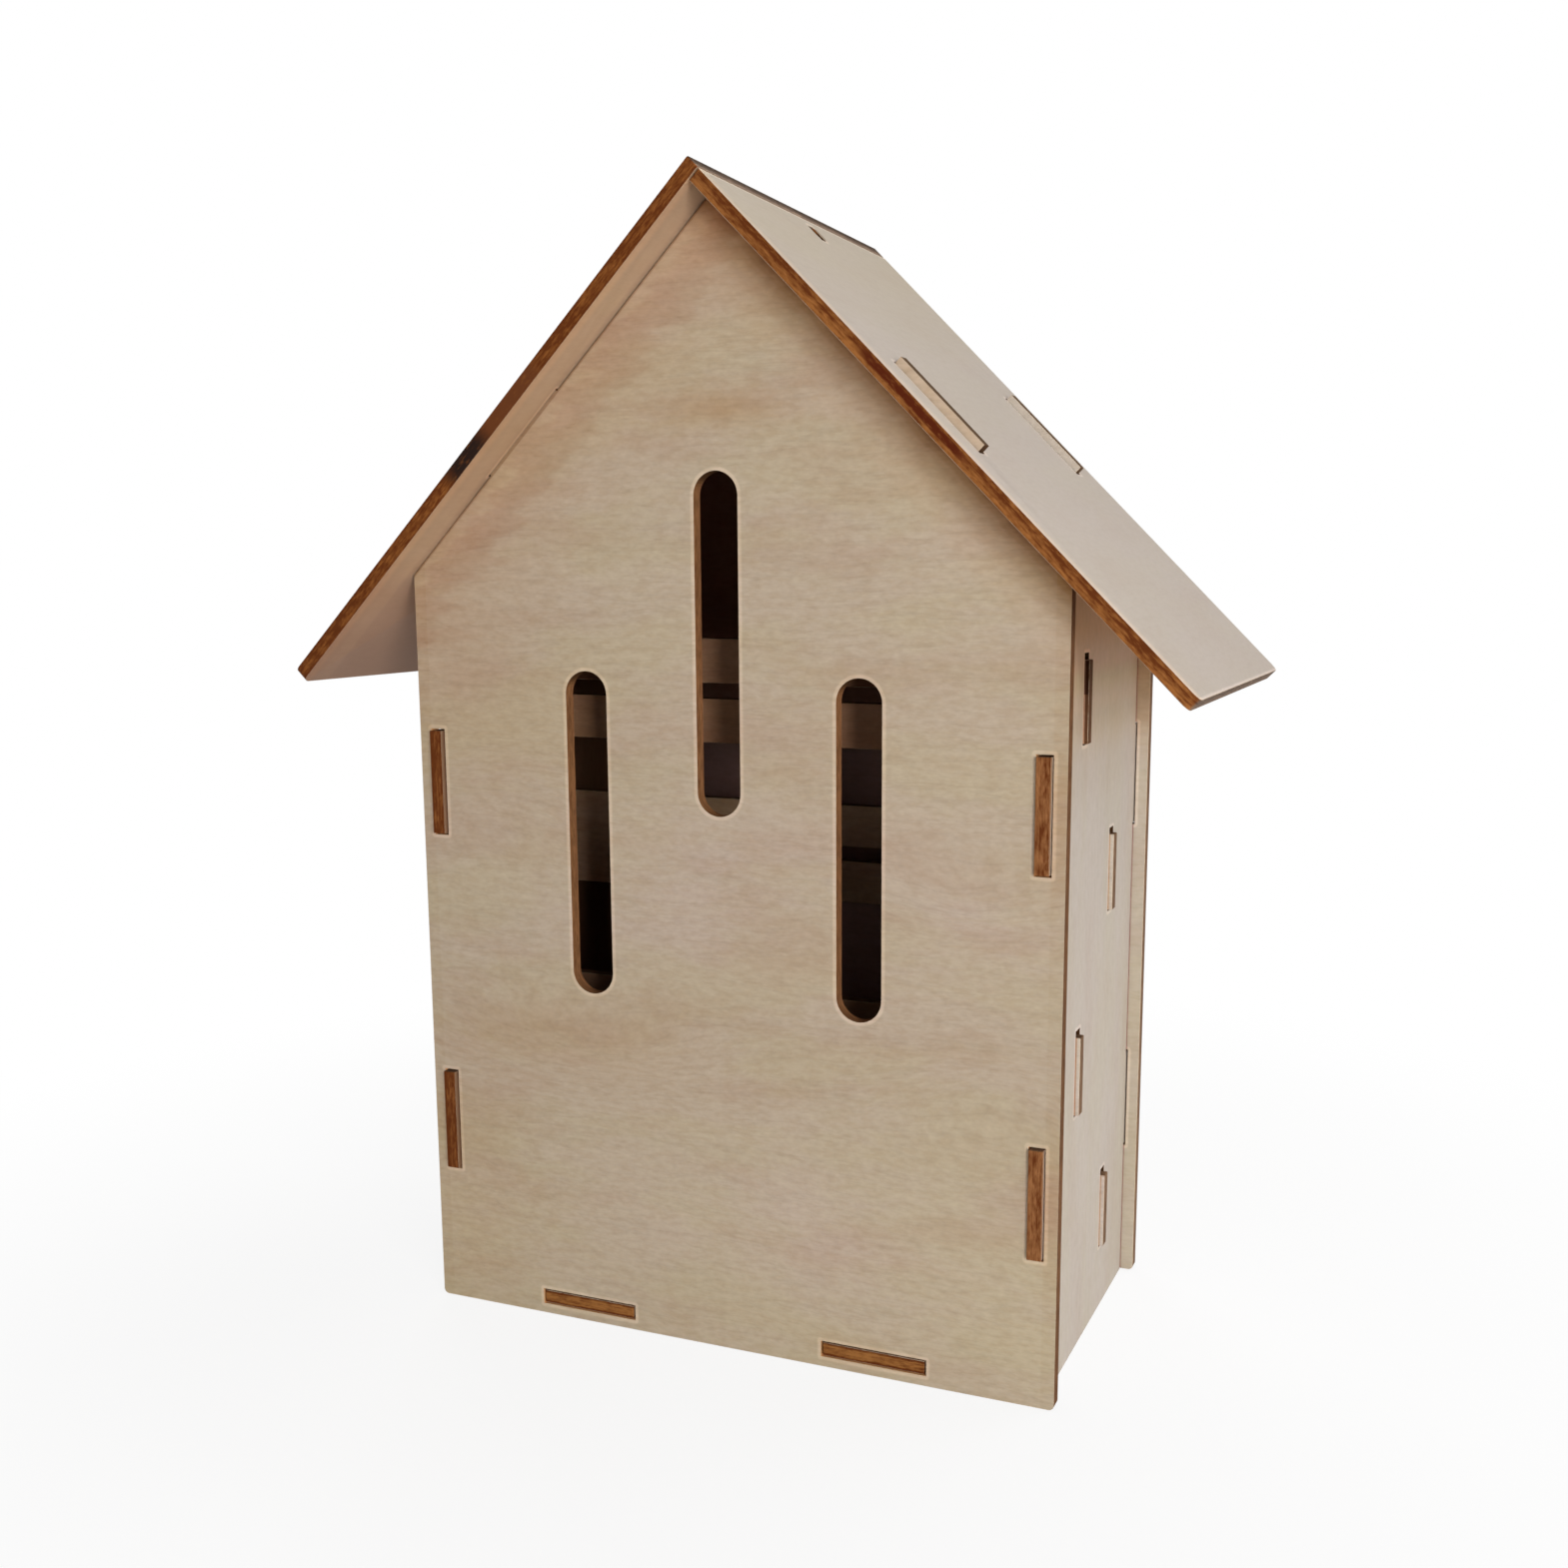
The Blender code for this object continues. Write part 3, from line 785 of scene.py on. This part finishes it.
def graded(wood, value, stops):
    """A tint that changes smoothly from stop to stop as a value grows."""
    tint = stops[0][1]
    for (start, _), (end, next_tint) in zip(stops, stops[1:]):
        tint = wood.mix(wood.step(value, start, end), tint, next_tint)
    return tint


print("sheet coordinates ready")

# %% [markdown]
# ## Growth rings
#
# Peeled veneer shows the growth rings as long level lines that swell into ovals where the
# knife crossed a rise in the trunk. Bending the coordinate across the grain with a slow noise,
# and lifting it over a few chosen spots, makes both. All but one of the other noises on the
# face then follow the bent coordinate.

# %% Noises along the grain
FIGURE = {  # lumps to a millimetre along and across the grain, detail and roughness
    "sway": (0.026, 0.060, 2.0, 0.50),
    "lines": (0.260, 0.75, 3.0, 0.60),
    "bands": (0.020, 0.20, 2.0, 0.50),
    "fibres": (0.62, 2.2, 2.0, 0.60),
    "mottle": (0.70, 1.10, 1.0, 0.50),
    "flames": (0.024, 0.075, 5.0, 0.62),
    "hues": (0.020, 0.055, 5.0, 0.62),
    "waves": (0.030, 0.42, 2.0, 0.55),
}
RING_SWAY = 3.5  # millimetres by which the rings wander
HUE_START = 41.3  # moves the hues away from the flames


def figure_noise(wood, place, across, kind, start=0.0):
    """One of the face's noises, over a coordinate across the grain."""
    along_lumps, across_lumps, detail, roughness = FIGURE[kind]
    x = wood.sum("MULTIPLY_ADD", place["along"], along_lumps, start)
    return wood.noise(x, wood.product(across, across_lumps), place["layer"], detail, roughness)


def squared_distance(wood, place, spot, radii):
    """Distance from a spot on the face, squared, in units of the two radii."""
    along = wood.sum("DIVIDE", wood.sum("SUBTRACT", place["along"], spot[0]), radii[0])
    across = wood.sum("DIVIDE", wood.sum("SUBTRACT", place["across"], spot[1]), radii[1])
    return wood.sum("ADD", wood.product(along, along), wood.product(across, across))


def growth_rings(wood, place, figures):
    """The coordinate across the grain, bent as growth rings are, in millimetres."""
    sway = figure_noise(wood, place, place["across"], "sway")
    rings = wood.sum("MULTIPLY_ADD", sway, RING_SWAY, place["across"])
    for spot, radii, lift in figures:
        far = squared_distance(wood, place, spot, radii)
        rings = wood.sum("MULTIPLY_ADD", wood.sum("EXPONENT", wood.product(far, -1.0)), lift, rings)
    return rings


print("noises of the face:", ", ".join(FIGURE))

# %% [markdown]
# ## Painted places
#
# What the tables above say about the bands along the slopes, the shades, the painted shadow
# above the upper front slat's slit and the clouds is laid over the veneer by tints. Each is a share
# from 0 to 1, which says where it lies, and a colour to multiply by, so the grain still shows
# through.

# %% Bands, painted shadow and clouds
# Of the noise that makes the band's border ragged.
BAND_LUMPS, BAND_DETAIL, BAND_ROUGHNESS = (0.05, 0.22), 4.0, 0.5
TAB_EDGE = (0.0, 0.3)  # where the roof ends and its tabs begin, in millimetres
SLIT_SHADOW_WIDE = (18.0, 22.0)  # the painted shadow starts this far from the middle
SLIT_SHADOW_FADE = 0.3


def slope_scorch(wood, place, shade, left, right):
    """Tint a gable along its slopes. Each side has its stops and how far they stray."""
    level = wood.dot(place["point"], LEVEL)
    below = wood.sum("SUBTRACT", BOX_APEX, place["high"])
    x, y = (wood.product(*pair) for pair in zip((level, below), BAND_LUMPS))
    ragged = wood.noise(x, y, place["layer"], BAND_DETAIL, BAND_ROUGHNESS)
    # Laser browning, painted shade and painted light on each slope.
    for side, (stops, stray) in ((-1, left), (1, right)):
        inward = wood.sum("SUBTRACT", below, wood.product(level, side))
        inward = wood.swing(ragged, stray, wood.product(inward, sqrt(0.5)))
        shade = wood.tinted(place["outer"], shade, graded(wood, inward, stops))
    return shade


def painted(wood, place, look, base, streaky):
    """Lay a sheet's bands, shades, tabs, painted slit shadow and clouds over its colour."""
    if "scorch" in look:
        base = slope_scorch(wood, place, base, *look["scorch"])
    for face, coordinate, stops in look.get("shades", ()):
        share = place["outer"] if face == "outer" else wood.sum("SUBTRACT", 1.0, place["outer"])
        base = wood.tinted(share, base, graded(wood, place[coordinate], stops))
    if "tabs" in look:
        base = wood.mix(wood.step(past_roof(wood, place), *TAB_EDGE), base, look["tabs"])
    if "smoke" in look:
        # Painted shadow of the slots' tops on the slat above its slit.
        over_slit = wood.step(place["high"], look["smoke"] - SLIT_SHADOW_FADE, look["smoke"])
        smoke = wood.product(wood.step(place["wide"], *SLIT_SHADOW_WIDE), place["outer"], over_slit)
        base = wood.tinted(smoke, base, SLIT_SHADOW_TINT)
    for spot, radii, tint in look.get("clouds", ()):
        far = wood.product(squared_distance(wood, place, spot, radii), streaky, -1.0)
        share = wood.product(wood.sum("EXPONENT", far), place["outer"])
        base = wood.tinted(share, base, tint)
    return base


print("bands, smoke and clouds ready")

# %% [markdown]
# ## Rims beside the cuts
#
# A cut is a box, and a slot's box has rounded ends. A point's distance from it is its distance
# from a box that is smaller all round by the ends' radius, less that radius. This is smoother
# than a painted outline, and it follows the sizes.

# %% Pale rims
SOOT_REACH = (1.1, 0.5)  # the soot ends and is full this far from the slot


def cut_gap(wood, place, cut):
    """Millimetres from a slot's or mortise's outline to a point on the face beside it."""
    first, second, radius = cut
    beyond = []
    for coordinate, start, end in (first, second):
        off = wood.apart(place[coordinate], (start + end) / 2)
        off = wood.sum("SUBTRACT", off, (end - start) / 2 - radius)
        beyond.append(wood.sum("MAXIMUM", off, 0.0))
    corner = wood.node("ShaderNodeCombineXYZ", *beyond).outputs[0]
    far = wood.node("ShaderNodeVectorMath", corner, operation="LENGTH").outputs["Value"]
    return wood.sum("SUBTRACT", far, radius)


def pale_rims(wood, place, look, shade):
    """Lighten the face beside the cuts and along the sheet's own edges."""
    gaps = [cut_gap(wood, place, cut) for cut in look["cuts"]]
    if gaps:
        nearest = gaps[0]
        for gap in gaps[1:]:
            nearest = wood.sum("MINIMUM", nearest, gap)
        # Painted highlight beside the cuts.
        shade = wood.tinted(wood.step(nearest, CUT_RIM, CUT_RIM / 2), shade, RIM_TINT)
    # Painted highlights along the roof's edges and a painted contact shadow on the gable.
    for coordinate, edge, width, tint in look.get("borders", ()):
        off = wood.apart(place[coordinate], edge)
        shade = wood.tinted(wood.step(off, width, width / 2), shade, tint)
    if "soot" in look:
        sooty = wood.step(cut_gap(wood, place, look["soot"]), *SOOT_REACH)
        shade = wood.tinted(sooty, shade, SOOT_TINT)
    return shade


print("rims ready")

# %% [markdown]
# ## Veneer
#
# Over the ground colour of a face lie broad reddish, pink and greenish patches, thin wavy
# growth lines and fine fibres. All of them are faint, a few per cent each, because strong
# contrast is what makes procedural wood look false.

# %% Veneer colour
LINE_TINT = colour(0.99, 0.965, 0.93)
RED_PATCH = colour(0.945, 0.895, 0.875)
GREEN_PATCH, PINK_PATCH = colour(1.0, 1.005, 0.965), colour(1.01, 1.0, 1.035)
# Where in its noise each of them starts and is full.
RED_RANGE, PINK_RANGE, LINE_RANGE = (0.46, 0.68), (0.38, 0.60), (0.58, 0.36)
GROUND_TONE = 1.01
FIBRE_HEIGHT, LINE_HEIGHT = 0.6, 0.4
TONE_SWINGS = (0.25, 0.06, 0.19, 0.15)  # of the lines, bands, fibres and mottle
VEIN_WIDTH, VEIN_DEPTH = 0.035, 0.06
PROUD = 0.1  # a tab's face starts this far outside the box


def ground_colour(wood, place, look):
    """Colour of the bare faces: outer, inner, and where they stand out of the box."""
    base = wood.mix(place["outer"], look["inner"], look["outer"])
    if "outside" in look:
        outer_tab, inner_tab = look["outside"]
        tab = wood.mix(place["outer"], inner_tab, outer_tab)
        base = wood.mix(outside_share(wood, place, PROUD), base, tab)
    return base


def veneer(wood, place, look):
    """Colour of the faces, and how high their fibres stand, from 0 to 1."""
    rings = growth_rings(wood, place, look.get("figures", ()))
    kinds = ("lines", "bands", "fibres", "flames", "waves")
    lines, bands, fibres, flames, waves = (figure_noise(wood, place, rings, kind) for kind in kinds)
    hues = figure_noise(wood, place, rings, "hues", HUE_START)
    mottle = figure_noise(wood, place, place["across"], "mottle")
    strength = look.get("contrast", 1.0)

    base = ground_colour(wood, place, look)
    base = wood.tinted(wood.step(flames, *RED_RANGE, 0.0, strength), base, RED_PATCH)
    patch = wood.mix(wood.step(hues, *PINK_RANGE), GREEN_PATCH, PINK_PATCH)
    base = wood.tinted(strength, base, patch)
    base = painted(wood, place, look, base, wood.sum("ADD", lines, bands))
    base = wood.tinted(wood.step(lines, *LINE_RANGE, 0.0, strength), base, LINE_TINT)

    tone = GROUND_TONE
    for noise, amount in zip((lines, bands, fibres, mottle), TONE_SWINGS):
        tone = wood.swing(noise, amount * strength, tone)
    veins = wood.step(wood.apart(waves, 0.5), VEIN_WIDTH, 0.0)
    tone = wood.sum("MULTIPLY_ADD", veins, -VEIN_DEPTH * strength, tone)
    height = wood.sum("MULTIPLY_ADD", fibres, FIBRE_HEIGHT, wood.product(lines, LINE_HEIGHT))
    return pale_rims(wood, place, look, wood.scale(base, tone)), height


print("veneer ready")

# %% [markdown]
# ## Edges that differ
#
# Some edges aren't like the rest of their sheet's. The ends of the roof tabs and the walls of
# the holes for the slats are darker, the front's mortises are painted bright as painted light in
# their shade, its sides carry thin soot, its slots' downward faces carry painted shade, and the
# lapping end at the ridge fades towards the joint. Each case is a small function, and a table
# says which sheets need which.

# %% Special edges
WALL_HOLES = (31.0, 30.0)  # the walls' holes lie within this depth
ROOF_HOLES_WIDE = (4.5, 5.5)  # the roof's cut-outs start this far from the middle
ROOF_HOLES_DOWN = (2.0, 3.0)  # and end this far above the eaves
ROOF_HOLES_DEEP = (45.0, 44.0)  # and lie within this depth
FRONT_MORTISES_WIDE = 60.0  # the front's mortises lie outside this
FRONT_MORTISES_HIGH = 10.0  # or below this
FRONT_SIDE_EDGE = (FRONT_SIDE - 1.0, FRONT_SIDE - 0.4)
RIDGE_END = (1.2, 0.8)  # the lapping end starts this far below its own edge
FACES_SLOPE, FACES_DOWN = (0.3, 0.7), (-0.2, -0.8)
SIDE_SOOT = colour(0.64, 0.64, 0.64)


def roof_tab_ends(wood, place, look, char):
    """The gables' tabs end darker above the roof."""
    return wood.mix(wood.step(past_roof(wood, place), *TAB_EDGE), char, TAB_CHAR)


def wall_holes(wood, place, look, char):
    """The holes for the slats are dark inside."""
    return wood.mix(wood.step(wood.sum("ABSOLUTE", place["deep"]), *WALL_HOLES), char, HOLE_CHAR)


def ridge_end(wood, place, look, char):
    """The lapping end at the ridge changes through the sheet."""
    below = wood.sum("SUBTRACT", roof_ridge, wood.dot(place["point"], SLOPE_RIGHT))
    facing = wood.step(wood.dot(place["normal"], SLOPE_RIGHT), *FACES_SLOPE)
    lapping = wood.product(wood.step(below, *RIDGE_END), facing)
    return wood.tinted(lapping, char, graded(wood, place["through"], look["ridge_soot"]))


def roof_holes(wood, place, look, char):
    """The roof's mortises and its small slot are dark inside."""
    above_eaves = wood.step(wood.sum("SUBTRACT", roof_eave, place["down"]), *ROOF_HOLES_DOWN)
    within = wood.step(wood.sum("ABSOLUTE", place["deep"]), *ROOF_HOLES_DEEP)
    share = wood.product(wood.step(place["wide"], *ROOF_HOLES_WIDE), above_eaves, within)
    return wood.mix(share, char, HOLE_CHAR)


def front_edges(wood, place, look, char):
    """The front's mortises get painted light, its sides soot, and its slots painted shade at their
    tops.
    """
    outside = wood.sum("SUBTRACT", place["wide"], FRONT_MORTISES_WIDE)
    below = wood.sum("SUBTRACT", FRONT_MORTISES_HIGH, place["high"])
    mortises = wood.step(wood.sum("MAXIMUM", outside, below), 0.0, 1.0)
    side = wood.step(place["wide"], *FRONT_SIDE_EDGE)
    # Painted light on the front's mortise walls.
    char = wood.mix(wood.product(mortises, wood.sum("SUBTRACT", 1.0, side)), char, MORTISE_CHAR)
    char = wood.tinted(side, char, SIDE_SOOT)
    # A surface that faces down inside a slot gets painted shade.
    shaded_underside = wood.step(wood.dot(place["normal"], UP), *FACES_DOWN)
    in_slots = wood.step(place["wide"], FRONT_MORTISES_WIDE, FRONT_MORTISES_WIDE - 1)
    return wood.mix(wood.product(shaded_underside, in_slots), char, HOLE_CHAR)


SPECIAL_EDGES = {
    "front_panel": (roof_tab_ends, front_edges),
    "back_panel": (roof_tab_ends,),
    "left_side_panel": (wall_holes,),
    "right_side_panel": (wall_holes,),
    "left_roof_panel": (ridge_end, roof_holes),
    "right_roof_panel": (roof_holes,),
}
for name, look in LOOKS.items():
    look["special_edges"] = SPECIAL_EDGES.get(name, ())
print("sheets with special edges:", len(SPECIAL_EDGES))

# %% [markdown]
# ## Burnt edges
#
# The laser chars every cut edge. The char is orange-brown with darker stretches where the beam
# slowed, and blotchy streaks run along it. Three plies show through it: the middle one is cut
# across its grain and burns darker, and a thin dark glue line lies on each side of it. Edges
# that face sideways or up are painted greyer than those that face the front, as painted cool
# light and sheen.

# %% Edge colour
EDGE_FIGURE = {  # lumps to a millimetre along the edge and through it, detail and roughness
    "streaks": (0.36, 1.45, 3.0, 0.65),
    "drift": (0.09, 0.35, 2.0, 0.50),
    "fibre": (0.50, 2.6, 2.0, 0.50),
}
GROUND_BURN = 0.24
STREAK_BURN, DRIFT_BURN, FIBRE_BURN = 2.6, 1.3, 0.8
CORE_PLY, CORE_BURN = (0.40, 0.30), 0.14  # places are shares of half the thickness
GLUE_LINE, GLUE_WIDTH, GLUE_BURN = 0.35, 0.10, 0.26
ARRIS_BAND, TOP_BAND = (0.45, 0.85), (0.0, 0.75)
BURNT_LINE, BURNT_LINE_REACH = 0.20, (0.30, 0.05)
MARK_LINE, MARK_STRAY, MARK_FADE, MARK_STREAKS = 0.15, 8.0, 2.5, (0.30, 0.50)
FACES_FRONT = (0.75, 0.25)  # how squarely an edge faces front or back
SIDE_SHARE = 0.85
DULL_FALL, DULL_BASE = -0.55, 1.25  # a side edge is darker where it is burnt more


def edge_noise(wood, place, look, kind):
    """One of the edges' noises."""
    edge_lumps, through_lumps, detail, roughness = EDGE_FIGURE[kind]
    x, y = (wood.product(place[axis], edge_lumps) for axis in ("along", "across"))
    z = wood.sum("MULTIPLY_ADD", place["through"], through_lumps, look["seed"])
    return wood.noise(x, y, z, detail, roughness)


def edge_burn(wood, place, look, streaks):
    """How dark the edge is burnt, from 0 to 1."""
    away = wood.sum("ABSOLUTE", place["depth"])
    burn = wood.swing(streaks, STREAK_BURN, GROUND_BURN + look["burn"])
    burn = wood.swing(edge_noise(wood, place, look, "drift"), DRIFT_BURN, burn)
    burn = wood.swing(edge_noise(wood, place, look, "fibre"), FIBRE_BURN, burn)
    burn = wood.sum("MULTIPLY_ADD", wood.step(away, *CORE_PLY), CORE_BURN, burn)
    glue = wood.step(wood.apart(away, GLUE_LINE), GLUE_WIDTH, 0.0)
    burn = wood.sum("MULTIPLY_ADD", glue, GLUE_BURN, burn)
    if look["arris_burn"]:
        burn = wood.sum("ADD", burn, wood.step(away, *ARRIS_BAND, 0.0, look["arris_burn"]))
    if look["line_burn"]:
        line = wood.apart(place["depth"], BURNT_LINE)
        burn = wood.sum("ADD", burn, wood.step(line, *BURNT_LINE_REACH, 0.0, look["line_burn"]))
    top = wood.step(place["depth"], *TOP_BAND, 0.0, look["top_burn"])
    return wood.node("ShaderNodeClamp", wood.sum("ADD", burn, top)).outputs[0]


def burnt_edge(wood, place, look):
    """Colour of the cut edges, and how high their streaks stand, from 0 to 1."""
    streaks = edge_noise(wood, place, look, "streaks")
    burn = edge_burn(wood, place, look, streaks)
    char = wood.mix(burn, look["bright_char"], DEEP_CHAR)
    for middle, half_length, shade, spread, least in look["marks"]:
        gap = wood.swing(streaks, MARK_STRAY, wood.apart(place["across"], middle))
        share = wood.product(
            wood.step(gap, half_length + MARK_FADE, half_length - MARK_FADE),
            wood.step(streaks, *MARK_STREAKS, least, 1.0),
            wood.step(wood.apart(place["depth"], MARK_LINE), spread, spread / 2),
        )
        char = wood.mix(share, char, shade)
    # Edges that face sideways or up get painted cool light and sheen.
    front_share = wood.sum("ABSOLUTE", wood.dot(place["normal"], DEEP))
    sideways = wood.step(front_share, *FACES_FRONT, 0.0, SIDE_SHARE)
    dull = wood.scale(look["side_char"], wood.sum("MULTIPLY_ADD", burn, DULL_FALL, DULL_BASE))
    char = wood.mix(sideways, char, dull)
    for special in look["special_edges"]:
        char = special(wood, place, look, char)
    return char, streaks


print("burnt edges ready")

# %% [markdown]
# ## Put the wood together
#
# Faces and edges meet at the rounded arris, which has a thin paler rim, partly sanded wood and
# partly a painted highlight. The same face share that picks the colour also picks the roughness
# and the bump: fibres on the faces, burnt streaks on the edges. Inside the box and on the small
# sides of the tabs the wood is dull, because what it would mirror there is the white studio floor.

# %% Plywood recipe
FACE_ROUGHNESS, EDGE_ROUGHNESS, FIBRE_ROUGHNESS = 0.57, 0.78, 0.10
FACE_SHEEN, EDGE_SHEEN = 0.28, 0.06
INSIDE = -0.3  # the sheen starts this far inside the box's outer planes
BUMP_STRENGTH, BUMP_HEIGHT = 0.35, 0.00006
# Paler arris, partly sanded wood and partly a painted highlight.
SANDED_HIGHLIGHT_RIM = colour(0.640, 0.500, 0.350)
RIM_STREAKS, RIM_SHARE = (0.35, 0.60), (0.8, 3.2)


def plywood(name, look):
    """A material for one sheet."""
    wood = Recipe(name + "_plywood")
    place = sheet_place(wood, look)
    face = place["face"]
    face_colour, fibres = veneer(wood, place, look)
    edge_colour, streaks = burnt_edge(wood, place, look)
    whole = wood.mix(face, edge_colour, face_colour)
    # Paler rim on the arris: sanded wood and a painted highlight.
    rim_strength = wood.step(streaks, *RIM_STREAKS, *RIM_SHARE)
    rim = wood.product(face, wood.sum("SUBTRACT", 1.0, face), rim_strength)
    wood.feed(wood.shader.inputs["Base Color"], wood.mix(rim, whole, SANDED_HIGHLIGHT_RIM))

    rough = wood.sum("MULTIPLY_ADD", fibres, FIBRE_ROUGHNESS, FACE_ROUGHNESS)
    wood.feed(wood.shader.inputs["Roughness"], wood.between(face, EDGE_ROUGHNESS, rough))
    face_sheen = FACE_SHEEN
    if "outside" in look:
        face_sheen = wood.between(outside_share(wood, place, PROUD), FACE_SHEEN, 0.0)
    sheen = wood.between(face, EDGE_SHEEN, face_sheen)
    sheen = wood.product(sheen, outside_share(wood, place, INSIDE))
    wood.feed(wood.shader.inputs["Specular IOR Level"], sheen)

    bump = wood.node("ShaderNodeBump")
    bump.inputs["Strength"].default_value = BUMP_STRENGTH
    bump.inputs["Distance"].default_value = BUMP_HEIGHT
    wood.feed(bump.inputs["Height"], wood.between(face, streaks, fibres))
    wood.feed(wood.shader.inputs["Normal"], bump.outputs[0])
    return wood.material


for name, look in LOOKS.items():
    sheet = sheets[name]
    sheet.data.materials.clear()
    sheet.data.materials.append(plywood(name, look))
print("dressed", len(LOOKS), "sheets")
